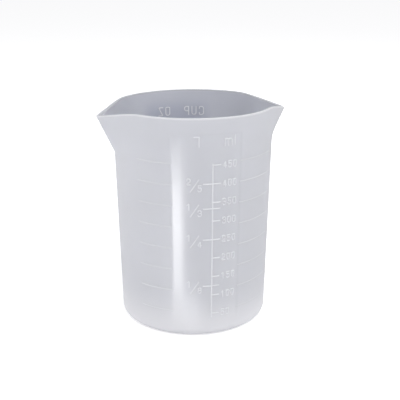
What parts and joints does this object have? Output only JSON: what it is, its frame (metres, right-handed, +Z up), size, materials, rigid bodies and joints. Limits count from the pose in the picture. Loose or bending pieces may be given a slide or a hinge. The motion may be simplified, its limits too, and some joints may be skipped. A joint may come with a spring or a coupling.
{
  "type": "resin mixing cup",
  "caption": "Tapered translucent mixing cup with two opposite pouring spouts, a flat base, polished windows in its wall and raised volume scales on both sides.",
  "frame": {"origin": "middle of the face that the cup stands on, on the axis of its round wall", "axes": "+Z up along the cup's axis, +X through one spout and -X through the other, -Y out of the side with the millilitre scale"},
  "size_m": [0.1032, 0.0856, 0.1178],
  "materials": {
    "frosted_silicone": "satin",
    "raised_marks": "matte"
  },
  "bodies": {
    "root": {"cup_body": "frosted_silicone", "ounce_rings": "raised_marks", "front_ruler_line": "raised_marks", "millilitre_ticks": "raised_marks", "millilitre_numbers": "raised_marks", "millilitre_heading": "raised_marks", "litre_ticks": "raised_marks", "litre_fractions": "raised_marks", "litre_heading": "raised_marks", "back_ruler_line": "raised_marks", "ounce_ticks": "raised_marks", "ounce_numbers": "raised_marks", "ounce_heading": "raised_marks", "cup_ticks": "raised_marks", "cup_fractions": "raised_marks", "cup_heading": "raised_marks"}
  },
  "joints": []
}
